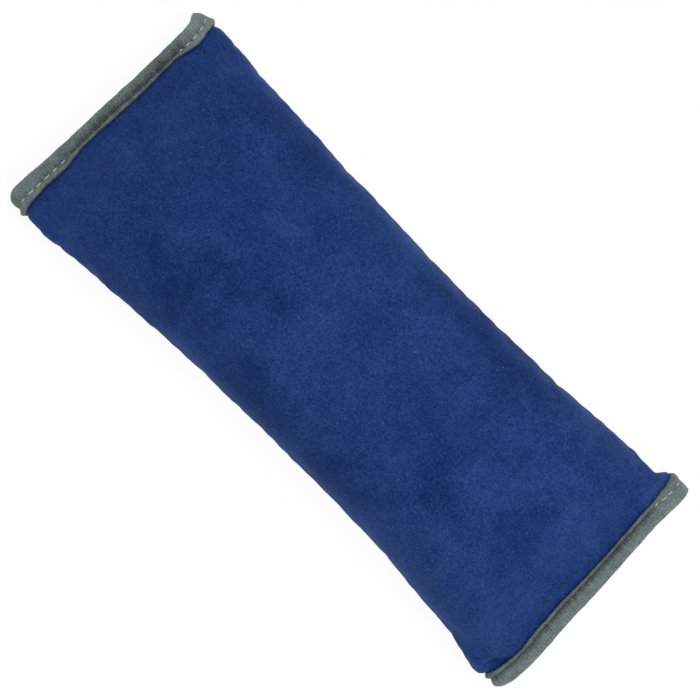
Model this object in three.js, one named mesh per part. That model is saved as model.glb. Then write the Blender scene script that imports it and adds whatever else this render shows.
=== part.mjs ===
import * as THREE from "three";

// Child's seat belt shoulder pad: a stuffed suede cushion whose two ends are pinched flat and
// bound with ribbed tape. On the back two flaps close round the belt with a hook and a loop strip.
// Millimetres. X runs along the belt, Y across it, Z up from the flaps to the face.

// Outline of the face, seen from above
const padLength = 277;
const waistWidth = 95;
const waistPosition = 33;
const leftFlare = 14;
const rightFlare = 10.8;
const flareCurve = 1.7;
const flareUpperShare = 0.88;
const leftEndHalf = 52.9;
const rightEndHalfUpper = 55.2;
const rightEndHalfLower = 52.8;
const leftSlant = 0.036;
const rightSlant = 0.045;
const slantLength = 75;
const endCrowding = 1.7;
const pinchLength = 3;

// Right end: a small lobe pops out above the tape, and the lower corner bulges below it
const lobeSize = 5;
const lobeLength = 5;
const bulgeSize = 2.6;
const bulgeLength = 9;

// Height of the stuffed body
const crownHeight = 42;
const widestHeight = 18;
const leftFullness = 4;
const rightFullness = 3.2;
const crownFlat = 7;
const backCornerRadius = 16;
const fillEase = 0.4;
const roundness = 2.3;

// Cloth, flaps and fastener
const clothThickness = 1.2;
const liningThickness = 0.8;
const tapeThickness = 0.8;
const clearance = 0.3;
const beltRoom = 5.5;
const seamAngle = 30;
const flapOverlap = 28;
const rampLength = 12;
const rampMargin = 2;
const flapDrop = 12;
const seamGapAngle = 4;
const stripWidth = 20;
const stripLength = 228;
const stripCornerRadius = 2;
const hookShare = 0.55;

// Binding tape, folded over each end and drawn in by its stitches
const bandWidth = 4.4;
const bandExtra = 1.4;
const lipWidth = 2.1;
const lipExtra = 1.4;
const lipEase = 1;
const rollPuff = 0.45;
const grooveDepth = 0.4;
const ribPitch = 1.1;
const ribHeight = 0.2;
const stitchPitch = 3.6;
const stitchPull = 0.12;
const ribAngle = 30;
const cornerStepAngle = 20;
const ribStart = 1.5;
const innerTurnStart = 1.3;
const innerTurnLength = 0.6;

// Layers at a bound end, counted up from the table
const tapeSide = clothThickness / 2 + clearance + tapeThickness;
const lowerCloth = tapeSide;
const overlapCloth = 3 * tapeSide + clearance;
const mouthRoof = overlapCloth + tapeSide + beltRoom;
const liningBottom = mouthRoof + tapeThickness + clearance;
const liningTop = liningBottom + liningThickness;
const upperCloth = liningTop + clearance + clothThickness / 2;
const sideRadius = (upperCloth - lowerCloth) / 2;
const sideHeight = (upperCloth + lowerCloth) / 2;
const skinRadius = sideRadius + clothThickness / 2;
const fillInset = clothThickness + clearance + fillEase;
const foldX = padLength / 2;
const clothX = foldX - tapeThickness - 2 * clearance;
const longestReach = bandWidth + bandExtra + lipWidth + lipExtra;
const lipX = foldX - longestReach;

const clamp01 = (t) => Math.min(1, Math.max(0, t));
const smooth = (t) => clamp01(t) ** 2 * (3 - 2 * clamp01(t));
const mix = (a, b, t) => a + (b - a) * t;
const evenly = (from, to, count) =>
  Array.from({ length: count + 1 }, (_, i) => mix(from, to, i / count));

// Each end is cut at a slight angle, so the lower side of the pad is a little longer
function place(x, y, z) {
  const slant = x < 0 ? leftSlant : -rightSlant;
  const start = foldX - slantLength;
  return new THREE.Vector3(x + y * slant * smooth((Math.abs(x) - start) / slantLength), y, z);
}

// Closed skin through rings of equal length, with a flat cap on each end
function loft(rings, outlines) {
  const count = rings[0].length;
  const last = (rings.length - 1) * count;
  const index = [];
  for (let ring = 0; ring + 1 < rings.length; ring++) {
    for (let i = 0; i < count; i++) {
      const a = ring * count + i;
      const b = ring * count + ((i + 1) % count);
      index.push(a, b, b + count, a, b + count, a + count);
    }
  }
  for (const [i, j, k] of THREE.ShapeUtils.triangulateShape(outlines[0], [])) {
    index.push(k, j, i);
  }
  for (const [i, j, k] of THREE.ShapeUtils.triangulateShape(outlines.at(-1), [])) {
    index.push(last + i, last + j, last + k);
  }
  const geometry = new THREE.BufferGeometry().setFromPoints(rings.flat());
  geometry.setIndex(index);
  geometry.computeVertexNormals();
  return geometry;
}

// Skin along the pad, from one outline in Y and Z at each station
function loftAlong(stations, section) {
  const outlines = stations.map(section);
  const rings = outlines.map((outline, i) => outline.map((p) => place(stations[i], p.x, p.y)));
  return loft(rings, outlines);
}

// Stations along the pad: inside the tape, at the two depths of its lip, and along the body,
// closer together towards the ends where the shape turns quickly
function stationsTo(limit, ends, count) {
  const spread = (t) => Math.sign(t) * (1 - (1 - Math.abs(t)) ** endCrowding);
  const body = evenly(-limit, limit, count).map((x) => limit * spread(x / limit));
  return [...ends.map((x) => -x), ...body, ...ends.toReversed()];
}

// The tape widens towards the two corners of an end
const nearCorner = (y) => clamp01(Math.abs(y) / leftEndHalf) ** 4;
const bandAt = (y) => bandWidth + bandExtra * nearCorner(y);
const reachAt = (y) => bandAt(y) + lipWidth + lipExtra * nearCorner(y);

function endHalf(x, side) {
  if (x < 0) return leftEndHalf;
  return side > 0 ? rightEndHalfUpper : rightEndHalfLower;
}

// 0 at the tape's lip and 1 at the waist, along the line that meets the tape at endY
function fill(x, endY) {
  const start = foldX - reachAt(endY) - lipEase;
  const end = x < waistPosition ? -start : start;
  const way = clamp01((x - end) / (waistPosition - end));
  return 1 - (1 - way) ** (x < waistPosition ? leftFullness : rightFullness);
}

// Half width of the stuffed body, before the tape pinches it in
function bodyHalf(x, side) {
  if (x < waistPosition) {
    return (waistWidth + leftFlare * ((waistPosition - x) / (waistPosition + lipX)) ** 2) / 2;
  }
  const way = Math.min(1, (x - waistPosition) / (lipX - lobeLength - waistPosition));
  const flared = waistWidth / 2;
  if (side < 0) {
    const bulge = bulgeSize * smooth((x - lipX + bulgeLength + pinchLength) / bulgeLength);
    return flared + (rightFlare / 2) * way ** flareCurve + bulge;
  }
  const lobe = lobeSize * smooth((x - lipX + lobeLength) / lobeLength);
  return flared + (rightFlare / 2) * Math.min(way, flareUpperShare) ** flareCurve + lobe;
}

function halfAt(x, side) {
  const pinch = smooth((Math.abs(x) - lipX + pinchLength) / pinchLength);
  return mix(bodyHalf(x, side), endHalf(x, side), pinch);
}

// A line along the pad is named by its side, its share of the flat top, and its angle round the
// side, where 90 is the top, 0 the widest place and -90 the back. inset counts in from the outside.
function skin(x, { side, flat = 1, angle }, inset) {
  const turn = THREE.MathUtils.degToRad(Math.abs(angle));
  const half = halfAt(x, side);
  const endY = flat * (endHalf(x, side) - skinRadius) + skinRadius * Math.cos(turn);
  const full = fill(x, endY);
  const power = 2 / mix(2, roundness, full);
  const out = Math.max(0, Math.cos(turn)) ** power;
  const up = Math.sin(turn) ** power;
  const widest = mix(sideHeight, widestHeight, full);
  if (angle < 0) {
    const corner = mix(skinRadius, backCornerRadius, full);
    const depth = widest - backHeight(x) - inset;
    return new THREE.Vector2(side * (half - corner + (corner - inset) * out), widest - depth * up);
  }
  const flatHalf = mix(half - skinRadius, crownFlat, full);
  const rise = mix(upperCloth + clothThickness / 2, crownHeight, full) - widest - inset;
  return new THREE.Vector2(
    side * (flat * flatHalf + (half - flatHalf - inset) * out),
    widest + rise * up,
  );
}

// The flaps lie on the table between the two bound ends, which lift them by the tape under them
function backHeight(x) {
  return mix(0, lowerCloth - clothThickness / 2, smooth((Math.abs(x) - lipX + flapDrop) / flapDrop));
}

// Angle round the side at which the inset skin passes a height
function angleAt(x, side, height, inset) {
  let low = -89;
  let high = 90;
  for (let step = 0; step < 40; step++) {
    const angle = (low + high) / 2;
    if (skin(x, { side, angle }, inset).y < height) low = angle;
    else high = angle;
  }
  return low;
}

function widthAt(x, side, height, inset) {
  return Math.abs(skin(x, { side, angle: angleAt(x, side, height, inset) }, inset).x);
}

// Face: one piece of cloth from one side seam, over the crown, to the other
const halfFace = [
  ...evenly(-seamAngle, 90, 6).map((angle) => ({ side: 1, angle })),
  ...[0.5, 0].map((flat) => ({ side: 1, flat, angle: 90 })),
];
const faceLines = [
  ...halfFace,
  ...halfFace
    .slice(0, -1)
    .reverse()
    .map((line) => ({ ...line, side: -1 })),
];

function faceSection(x) {
  const outside = faceLines.map((line) => skin(x, line, 0));
  const inside = faceLines.map((line) => skin(x, line, clothThickness));
  return [...outside, ...inside.reverse()];
}

// Lining: the back of the cushion and the roof of the belt tunnel
function liningSection(x) {
  const [right, left] = [1, -1].map(
    (side) =>
      side *
      Math.min(
        widthAt(x, side, liningBottom, fillInset),
        widthAt(x, side, liningTop, fillInset),
      ),
  );
  return [
    new THREE.Vector2(right, liningBottom),
    new THREE.Vector2(right, liningTop),
    new THREE.Vector2(left, liningTop),
    new THREE.Vector2(left, liningBottom),
  ];
}

// Stuffing: fills the space between the lining and the face
const stuffingBottom = liningTop + clearance;

function stuffingSection(x) {
  const [right, left] = [1, -1].map((side) => {
    const foot = angleAt(x, side, stuffingBottom, fillInset);
    return evenly(foot, 90, 6).map((angle) => skin(x, { side, angle }, fillInset));
  });
  return [...right, ...left.reverse()];
}

// The flap from one side lies over the other: 0 on its own side, 1 past the ramp
const rampFoot = flapOverlap / 2 + rampMargin + rampLength;
const flapLift = (y, raised) => (raised ? smooth((rampFoot - y) / rampLength) : 0);
const rampStops = evenly(rampFoot, rampFoot - rampLength, 4);

// Flap: from a side seam round the lower corner to its free edge, just past the middle
function flapSection(side, raised) {
  const stops = [...(raised ? rampStops : []), -flapOverlap / 2];
  const angles = evenly(-seamAngle - seamGapAngle, -90, 3);
  return (x) => {
    const low = backHeight(x);
    const high = overlapCloth - clothThickness / 2;
    const run = (inset) => [
      ...angles.map((angle) => skin(x, { side, angle }, inset)),
      ...stops.map(
        (y) => new THREE.Vector2(side * y, mix(low, high, flapLift(y, raised)) + inset),
      ),
    ];
    const ring = [...run(0).reverse(), ...run(clothThickness)];
    return side > 0 ? ring : ring.reverse();
  };
}

// Sections of the tape follow the middle of the cloth round a bound end: one flap, the lower
// corner, the face with a section every half rib, the other lower corner, the other flap
function tapeStops(end) {
  const flatEnd = (side) => endHalf(end, side) - skinRadius;
  const turnPoint = (side, angle, along = 0) => {
    const turn = THREE.MathUtils.degToRad(angle);
    const normal = new THREE.Vector2(side * Math.cos(turn), Math.sin(turn));
    const centre = new THREE.Vector2(side * flatEnd(side), sideHeight);
    return { point: centre.addScaledVector(normal, sideRadius), normal, along };
  };
  const under = (side, raised) => {
    const stops = evenly(flatEnd(side), rampFoot, 2).slice(0, 2);
    stops.push(...(raised ? rampStops : [rampFoot]), -flapOverlap / 2);
    return stops.map((y) => {
      const near = [y - clearance, y + clearance].map((place) => flapLift(place, raised));
      const slope = (near[1] - near[0]) / (2 * clearance);
      const rise = (overlapCloth - lowerCloth) * slope;
      const normal = new THREE.Vector2(side * rise, -1).normalize();
      const height = mix(lowerCloth, overlapCloth, flapLift(y, raised));
      return { point: new THREE.Vector2(side * y, height), normal, along: 0 };
    });
  };
  const cornerSteps = (ribAngle + 90) / cornerStepAngle - 2;
  const corner = evenly(cornerStepAngle - 90, ribAngle - cornerStepAngle, cornerSteps);
  const turnLength = sideRadius * THREE.MathUtils.degToRad(90 - ribAngle);
  const faceLength = 2 * turnLength + flatEnd(1) + flatEnd(-1);
  const faceStops = evenly(0, faceLength, 2 * Math.round(faceLength / ribPitch)).map((along) => {
    const rest = faceLength - along;
    if (along < turnLength) return turnPoint(1, mix(ribAngle, 90, along / turnLength), along);
    if (rest < turnLength) return turnPoint(-1, mix(ribAngle, 90, rest / turnLength), along);
    const y = flatEnd(1) + turnLength - along;
    return { point: new THREE.Vector2(y, upperCloth), normal: new THREE.Vector2(0, 1), along };
  });
  return [
    ...under(1, true).reverse(),
    ...corner.map((angle) => turnPoint(1, angle)),
    ...faceStops,
    ...corner.toReversed().map((angle) => turnPoint(-1, angle)),
    ...under(-1, false),
  ];
}

// Tape: a folded band whose outer roll and lip stand up on either side of the stitched groove.
// Over the face its inner side also takes in the lining.
function bindingGeometry(end) {
  const outlines = [];
  const rings = tapeStops(end).map(({ along, point, normal }, i) => {
    const height = along ? (point.y - lowerCloth) / sideRadius : 0;
    const innerTurn = smooth((height - innerTurnStart) / innerTurnLength);
    const inner = mix(tapeSide, upperCloth - mouthRoof, innerTurn);
    const rib = height > ribStart ? (ribHeight / 2) * (i % 2 ? 1 : -1) : 0;
    const puff = rollPuff * smooth(height);
    const pull = stitchPull * Math.cos((2 * Math.PI * along) / stitchPitch) * smooth(height);
    const band = bandAt(point.x);
    const reach = reachAt(point.x);
    const outline = [
      [reach, tapeSide - tapeThickness],
      [reach, tapeSide + rib],
      [band, tapeSide - grooveDepth * smooth(height) + pull],
      [band / 2, tapeSide + puff + rib],
      [0, tapeSide / 2],
      [0, -inner / 2],
      [band / 3, -inner],
      [reach, -inner],
      [reach, tapeThickness - inner],
      [tapeThickness + clearance, tapeThickness - inner],
      [tapeThickness + clearance, tapeSide - tapeThickness],
    ].map(([depth, out]) => new THREE.Vector2(depth, out));
    outlines.push(outline);
    return outline.map(({ x: depth, y: out }) =>
      place(
        Math.sign(end) * (foldX - depth),
        point.x + normal.x * out,
        point.y + normal.y * out,
      ),
    );
  });
  if (end < 0) return loft(rings, outlines);
  return loft(rings.reverse(), outlines.reverse());
}

// Hook strip on the lower flap and loop strip under the upper one
const stripRoom = overlapCloth - clothThickness * 1.5 - 3 * clearance;
const hookThickness = stripRoom * hookShare;
const loopThickness = stripRoom - hookThickness;

function stripGeometry(bottom, thickness) {
  const x = stripLength / 2 - stripCornerRadius;
  const y = stripWidth / 2 - stripCornerRadius;
  const outline = new THREE.Shape();
  outline.absarc(x, y, stripCornerRadius, 0, Math.PI / 2);
  outline.absarc(-x, y, stripCornerRadius, Math.PI / 2, Math.PI);
  outline.absarc(-x, -y, stripCornerRadius, Math.PI, Math.PI * 1.5);
  outline.absarc(x, -y, stripCornerRadius, Math.PI * 1.5, Math.PI * 2);
  outline.closePath();
  const strip = new THREE.ExtrudeGeometry(outline, {
    depth: thickness,
    bevelEnabled: false,
    curveSegments: 4,
  });
  return strip.translate(0, 0, bottom);
}

const suede = { color: 0x22396e, roughness: 0.9 };
const grosgrain = { color: 0x697572, roughness: 0.75 };
const plainLining = { color: 0x2b3f66, roughness: 0.85 };
const fibre = { color: 0xe9e9e4, roughness: 1 };
const fastener = { color: 0x1d2638, roughness: 0.8 };

const pad = new THREE.Group();

function add(name, geometry, finish) {
  const mesh = new THREE.Mesh(geometry, new THREE.MeshStandardMaterial({ ...finish, metalness: 0 }));
  mesh.name = name;
  pad.add(mesh);
}

const firstRise = foldX - bandWidth - lipWidth - lipEase;
const padStations = stationsTo(lipX, [clothX, firstRise], 26);
add("face_cover", loftAlong(padStations, faceSection), suede);
add("stuffing", loftAlong(stationsTo(lipX - pinchLength, [], 18), stuffingSection), fibre);
add("cushion_lining", loftAlong(padStations, liningSection), plainLining);
add("loop_flap", loftAlong(padStations, flapSection(1, true)), suede);
add("hook_flap", loftAlong(padStations, flapSection(-1, false)), suede);
add("hook_strip", stripGeometry(clothThickness + clearance, hookThickness), fastener);
add(
  "loop_strip",
  stripGeometry(clothThickness + hookThickness + 2 * clearance, loopThickness),
  fastener,
);
add("left_end_binding", bindingGeometry(-1), grosgrain);
add("right_end_binding", bindingGeometry(1), grosgrain);

// Origin at the middle of the base
const bounds = new THREE.Box3().setFromObject(pad);
pad.position.set(-(bounds.min.x + bounds.max.x) / 2, -(bounds.min.y + bounds.max.y) / 2, -bounds.min.z);

export default pad;
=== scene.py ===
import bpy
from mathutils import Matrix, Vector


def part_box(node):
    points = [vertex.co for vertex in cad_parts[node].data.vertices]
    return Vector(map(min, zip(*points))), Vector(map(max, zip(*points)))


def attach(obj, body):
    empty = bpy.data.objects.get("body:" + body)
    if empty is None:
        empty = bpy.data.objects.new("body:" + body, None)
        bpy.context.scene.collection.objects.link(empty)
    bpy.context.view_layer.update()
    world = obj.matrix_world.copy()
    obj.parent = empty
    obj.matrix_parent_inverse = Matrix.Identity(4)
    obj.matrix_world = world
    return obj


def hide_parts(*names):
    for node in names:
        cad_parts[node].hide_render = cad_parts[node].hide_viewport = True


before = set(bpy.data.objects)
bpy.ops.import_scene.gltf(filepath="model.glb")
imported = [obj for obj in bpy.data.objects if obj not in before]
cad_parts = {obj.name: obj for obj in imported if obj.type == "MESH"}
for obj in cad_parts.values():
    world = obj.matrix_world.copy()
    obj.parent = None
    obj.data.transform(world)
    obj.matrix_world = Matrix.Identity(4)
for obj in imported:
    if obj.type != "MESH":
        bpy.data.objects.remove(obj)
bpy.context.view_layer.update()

import math

import bpy
import numpy as np
from mathutils import Matrix, Vector, noise

# The room: the pad lies on a white table under broad soft light, and the camera looks straight
# down on it with the pad's length running from the upper left to the lower right.
bpy.ops.object.select_all(action="DESELECT")
scene = bpy.context.scene
scene.view_settings.view_transform = "Standard"

table_drop = 0.0003
bpy.ops.mesh.primitive_plane_add(size=4, location=(0, 0, -table_drop))
table_top = bpy.context.object
table_top.name = "table_top"


def node_tools(tree):
    """Functions that add a node to an emptied tree and join two sockets."""
    tree.nodes.clear()

    def add(kind, **settings):
        node = tree.nodes.new("ShaderNode" + kind)
        for key, value in settings.items():
            socket = key.replace("_", " ")
            if key.startswith("input_"):
                node.inputs[int(key[6:])].default_value = value
            elif socket in node.inputs:
                node.inputs[socket].default_value = value
            else:
                setattr(node, key, value)
        return node

    return add, tree.links.new


def new_finish(name):
    """An empty material, and the tools to fill it."""
    material = bpy.data.materials.new(name)
    material.use_nodes = True
    return material, *node_tools(material.node_tree)


def white_where_seen(add, join, lit, white, share):
    """The lit shader, with a share of plain white in it where the eye or a mirror sees it."""
    ray = add("LightPath")
    seen = ray.outputs["Is Camera Ray"]
    for other_way in ("Is Glossy Ray", "Is Transmission Ray"):
        either = add("Math", operation="MAXIMUM")
        join(seen, either.inputs[0])
        join(ray.outputs[other_way], either.inputs[1])
        seen = either.outputs[0]
    white_share = add("Math", operation="MULTIPLY", input_1=share)
    join(seen, white_share.inputs[0])
    mixed = add("MixShader")
    join(white_share.outputs[0], mixed.inputs["Fac"])
    join(lit.outputs[0], mixed.inputs[1])
    join(white.outputs[0], mixed.inputs[2])
    return mixed.outputs[0]


table_white, add, join = new_finish("white_table")
table_paint = add("BsdfDiffuse", Color=(0.9, 0.9, 0.9, 1))
table_glow = add("Emission", Color=(1, 1, 1, 1), Strength=1.0)
table_look = white_where_seen(add, join, table_paint, table_glow, 0.94)
join(table_look, add("OutputMaterial").inputs["Surface"])
table_top.data.materials.append(table_white)

room = bpy.data.worlds.new("room")
scene.world = room
room.use_nodes = True
add, join = node_tools(room.node_tree)
room_light = add("Background", Color=(1, 1, 1, 1), Strength=0.58)
room_white = add("Background", Color=(1, 1, 1, 1), Strength=1.0)
join(white_where_seen(add, join, room_light, room_white, 1.0), add("OutputWorld").inputs["Surface"])

bpy.ops.object.light_add(type="AREA", location=(0.3, 0.2, 1.0))
soft_box = bpy.context.object
soft_box.name = "soft_box"
soft_box.data.shape = "DISK"
soft_box.data.size = 0.9
soft_box.data.energy = 6.7
soft_box.rotation_euler = (-soft_box.location).to_track_quat("-Z", "Y").to_euler()

view_turn = math.radians(45.07)
view_height = 0.79
bpy.ops.object.camera_add(location=(0.0001, -0.0008, view_height), rotation=(0, 0, view_turn))
camera = bpy.context.object
camera.name = "camera_above"
camera.data.lens = 100
camera.data.sensor_width = 36
scene.camera = camera

# Cushion: a pillow of suede cloth stuffed with fibre and closed at the back by its lining, with
# a skirt of the same cloth down to the side seams. Its ends are pinched flat between the tapes.
# Sizes here and below are in millimetres, and meshes are made in metres.
cloth = 1.2
tape_wall = 0.8
ease = 0.3


def box_mm(node):
    """The lowest and the highest corner of a solid."""
    return [corner * 1000 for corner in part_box(node)]


lining_low, lining_high = box_mm("cushion_lining")
hook_low, hook_high = box_mm("hook_strip")
middle_y = (hook_low.y + hook_high.y) / 2
tape_side = cloth / 2 + ease + tape_wall
lower_cloth = tape_side
overlap_cloth = 3 * tape_side + ease
upper_cloth = lining_high.z + ease + cloth / 2
side_radius = (upper_cloth - lower_cloth) / 2
side_height = (upper_cloth + lower_cloth) / 2
skin_radius = side_radius + cloth / 2
crown_height = box_mm("face_cover")[1].z
widest_height = 18
waist_x = 32.8
crown_flat = 7
back_corner = 16
roundness = 2.3
lip_ease = 0.8
corner_reach = 52
pinch_run = 2
lift_start = 117
lift_run = 12
place_crowding = 1.25
under_lip = 3.0
left_fill_curve = 4.0
right_fill_curve = 3.2

# Seen from above: the fold, the stitched groove and the lip of each tape as (y, x) across the
# pad, and the cushion's two edges as (x, distance from the middle) along it
left_fold = [(57, -135.2), (54, -135.6), (52.6, -136.6), (51.4, -138.0), (50.4, -139.2),
             (49.2, -139.4), (46.2, -137.4), (41.4, -136.9), (15.4, -137.3), (-0.6, -138.1),
             (-12.6, -138.4), (-24.6, -138.8), (-34.6, -139.3), (-47.8, -140.3), (-50.8, -140.4),
             (-52.6, -140.0), (-53.8, -139.0), (-57, -136.2)]
left_groove = [(57, -133.65), (52.5, -134.45), (51.0, -134.65), (47.8, -132.3), (44.4, -131.5),
               (40.6, -131.3), (33.8, -132.1), (19.4, -132.3), (9.0, -132.7), (-0.6, -133.5),
               (-24.6, -133.7), (-28.6, -133.4), (-38.6, -133.7), (-51.6, -134.05), (-54, -132.85),
               (-57, -132.05)]
left_lip = [(57, -132.0), (53.4, -131.6), (49.8, -130.2), (45.4, -128.7), (42.6, -128.45),
            (38.6, -129.1), (34.6, -130.1), (31.4, -130.8), (21.4, -130.7), (15.4, -130.5),
            (-0.6, -131.2), (-17.8, -132.1), (-23.0, -131.6), (-28.6, -130.7), (-40.6, -131.35),
            (-52.0, -130.65), (-54, -129.25), (-57, -127.65)]
right_fold = [(57, 136.2), (43.4, 136.0), (35.4, 135.8), (23.4, 136.6), (11.4, 137.35),
              (-0.6, 138.05), (-12.6, 138.3), (-20.6, 138.8), (-28.6, 139.4), (-37.6, 139.9),
              (-46.6, 139.4), (-51.6, 138.6), (-53.6, 137.4), (-57, 136.4)]
right_groove = [(57, 130.35), (46.2, 130.35), (42.6, 129.6), (35.4, 130.05), (25.4, 130.5),
                (11.4, 131.3), (-0.6, 131.95), (-12.6, 132.05), (-26.6, 133.15), (-34.6, 133.95),
                (-42.6, 133.75), (-48.6, 133.25), (-57, 133.65)]
right_lip = [(57, 125.65), (51.4, 126.6), (47.4, 127.1), (41.4, 128.0), (35.4, 128.1),
             (27.4, 128.8), (13.4, 129.75), (3.4, 130.1), (-12.6, 130.35), (-26.6, 131.15),
             (-32.6, 131.9), (-36.6, 132.5), (-40.6, 132.25), (-48.6, 131.3), (-57, 129.65)]
upper_edge = [(-132, 52.6), (-127.2, 53.6), (-119.2, 53.0), (-111.2, 52.5), (-103.2, 51.6),
              (-83.2, 50.6), (-67.2, 50.0), (-51.2, 49.2), (-35.2, 48.9), (-3.2, 47.8),
              (28.8, 47.3), (44.8, 47.6), (68.8, 48.5), (92.8, 50.2), (108.8, 51.1), (121.6, 50.8),
              (122.8, 52.6), (124.4, 54.6), (126.4, 55.6), (131, 55.4)]
lower_edge = [(-132, 54.6), (-127.2, 55.0), (-119.2, 55.0), (-111.2, 53.8), (-103.2, 53.0),
              (-83.2, 51.6), (-67.2, 50.1), (-35.2, 48.7), (-3.2, 48.1), (28.8, 47.8), (44.8, 47.7),
              (68.8, 48.8), (92.8, 51.1), (108.8, 52.2), (112.8, 53.0), (116.8, 53.8),
              (120.8, 55.1), (124.8, 56.3), (128.8, 56.1), (132, 54.0)]


def smooth_line(points, reach):
    """A function that follows the points, with its corners rounded over the reach."""
    points = np.array(sorted(points))
    step = 0.25
    at = np.arange(points[0, 0], points[-1, 0], step)
    value = np.interp(at, points[:, 0], points[:, 1])
    count = int(reach / step)
    weights = np.hanning(2 * count + 3)[1:-1]
    value = np.convolve(np.pad(value, count, mode="edge"), weights / weights.sum(), "valid")
    return lambda where: np.interp(where, at, value)


fold_line = {-1: smooth_line(left_fold, 1.2), 1: smooth_line(right_fold, 1.2)}
groove_line = {-1: smooth_line(left_groove, 1.2), 1: smooth_line(right_groove, 1.2)}
lip_line = {-1: smooth_line(left_lip, 1.2), 1: smooth_line(right_lip, 1.2)}
edge_line = {1: smooth_line(upper_edge, 1.0), -1: smooth_line(lower_edge, 1.0)}
# Half of each bound end's width, on either side of the middle
end_half = {-1: {1: 52.9, -1: 52.9}, 1: {1: 55.2, -1: 52.8}}


def ramp(t):
    """0 up to 0 and 1 from 1 on, with a smooth rise between."""
    t = np.clip(t, 0, 1)
    return t * t * (3 - 2 * t)


def mix(a, b, t):
    """a where t is 0 and b where it is 1."""
    return a + (b - a) * t


def hill(t, middle, reach):
    """1 at the middle, falling smoothly to 0 past the reach."""
    return np.exp(-(((t - middle) / reach) ** 2))


def row_of(x, y, z):
    """A row of points, where one number may stand for all of them."""
    return np.stack(np.broadcast_arrays(x, y, z), axis=1)


def fullness(x, end_y):
    """0 at the tapes and 1 at the waist, along the line that meets the tapes at end_y."""
    start_left = lip_line[-1](end_y) + lip_ease
    start_right = lip_line[1](end_y) - lip_ease
    left = np.clip((x - start_left) / (waist_x - start_left), 0, 1)
    right = np.clip((start_right - x) / (start_right - waist_x), 0, 1)
    left_fill = 1 - (1 - left) ** left_fill_curve
    return np.where(x < waist_x, left_fill, 1 - (1 - right) ** right_fill_curve)


def half_width(x, side):
    body = edge_line[side](x) - side * middle_y
    end = np.where(x < 0, end_half[-1][side], end_half[1][side])
    past_left = lip_line[-1](side * corner_reach) - x
    past_right = x - lip_line[1](side * corner_reach)
    past_lip = np.where(x < 0, past_left, past_right)
    return mix(body, end, ramp(past_lip / pinch_run + 1))


def line_y_at_tape(end, side, flat, angle):
    """Where a line along the pad meets the tape. A line has its side, its share of the flat top
    and its angle round the side: 90 is the top, 0 the widest place and -90 the back."""
    round_corner = skin_radius * np.cos(np.radians(np.abs(angle)))
    return side * (flat * (end_half[end][side] - skin_radius) + round_corner) + middle_y


def back_height(x):
    """The flaps lie on the table between the bound ends, which lift them by the tape under them."""
    return mix(0.0, lower_cloth - cloth / 2, ramp((np.abs(x) - lift_start) / lift_run))


def skin(x, side, flat, angle, inset=0.0):
    """y and z of the cloth's outer face at the places x on one line, inset into the pad."""
    turn = np.radians(np.abs(angle))
    left_y, right_y = (line_y_at_tape(end, side, flat, angle) for end in (-1, 1))
    end_y = np.where(x < 0, left_y, right_y)
    full = fullness(x, end_y)
    half = half_width(x, side)
    power = 2 / mix(2, roundness, full)
    out = np.maximum(0.0, np.cos(turn)) ** power
    up = np.sin(turn) ** power
    widest = mix(side_height, widest_height, full)
    corner = mix(skin_radius, back_corner, full)
    y_below = half - corner + (corner - inset) * out
    z_below = widest - (widest - back_height(x) - inset) * up
    flat_half = mix(half - skin_radius, crown_flat, full)
    y_above = flat * flat_half + (half - flat_half - inset) * out
    z_above = widest + (mix(upper_cloth + cloth / 2, crown_height, full) - widest - inset) * up
    below = np.asarray(angle) < 0
    return side * np.where(below, y_below, y_above) + middle_y, np.where(below, z_below, z_above)


def angle_at(x, side, height, inset):
    """Angle round the side where the inset skin passes a height, at each place x."""
    low, high = np.full(len(x), -89.0), np.full(len(x), 90.0)
    for _ in range(30):
        angle = (low + high) / 2
        under = skin(x, side, 1.0, angle, inset)[1] < height
        low, high = np.where(under, angle, low), np.where(under, high, angle)
    return low


def places_along(left_y, right_y, count):
    """Places along one line, closer together near the tapes, that end under the tapes' lips."""
    low, high = lip_line[-1](left_y), lip_line[1](right_y)
    t = np.linspace(-1, 1, count)
    share = np.sign(t) * (1 - (1 - np.abs(t)) ** place_crowding)
    inner = (low + high) / 2 + share * (high - low) / 2
    under_left = [low - under_lip, low - under_lip / 2]
    under_right = [high + under_lip / 2, high + under_lip]
    return np.concatenate([under_left, inner, under_right])


def grid_faces(row_count, column_count):
    """Quads between rows of equal length, and between the last row and the first."""
    faces = []
    for row in range(row_count):
        here, there = row * column_count, (row + 1) % row_count * column_count
        for column in range(column_count - 1):
            faces.append((here + column, there + column, there + column + 1, here + column + 1))
    return faces


def end_faces(row_count, column_count, half, last):
    """Quads that close one end of a closed grid, from its first half of rows to the rest."""
    ring = [row * column_count + (column_count - 1 if last else 0) for row in range(row_count)]
    front, back = ring[:half], ([ring[half - 1]] + ring[half:] + [ring[0]])[::-1]
    matched = [back[round(i * (len(back) - 1) / (half - 1))] for i in range(half)]
    faces = []
    for i in range(half - 1):
        loop = list(dict.fromkeys((front[i], front[i + 1], matched[i + 1], matched[i])))
        if len(loop) > 2:
            faces.append(tuple(loop if not last else loop[::-1]))
    return faces


def both_ends(row_count, column_count, half):
    """The faces that close both ends of a closed grid."""
    return [face for last in (False, True) for face in end_faces(row_count, column_count, half, last)]


def make_piece(name, points_mm, faces):
    mesh = bpy.data.meshes.new(name)
    mesh.from_pydata((np.asarray(points_mm).reshape(-1, 3) / 1000).tolist(), [], faces)
    mesh.update()
    mesh.polygons.foreach_set("use_smooth", [True] * len(mesh.polygons))
    piece = bpy.data.objects.new(name, mesh)
    bpy.context.collection.objects.link(piece)
    return piece


def points_of(mesh):
    flat = np.empty(len(mesh.vertices) * 3)
    mesh.vertices.foreach_get("co", flat)
    return flat.reshape(-1, 3) * 1000


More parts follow.
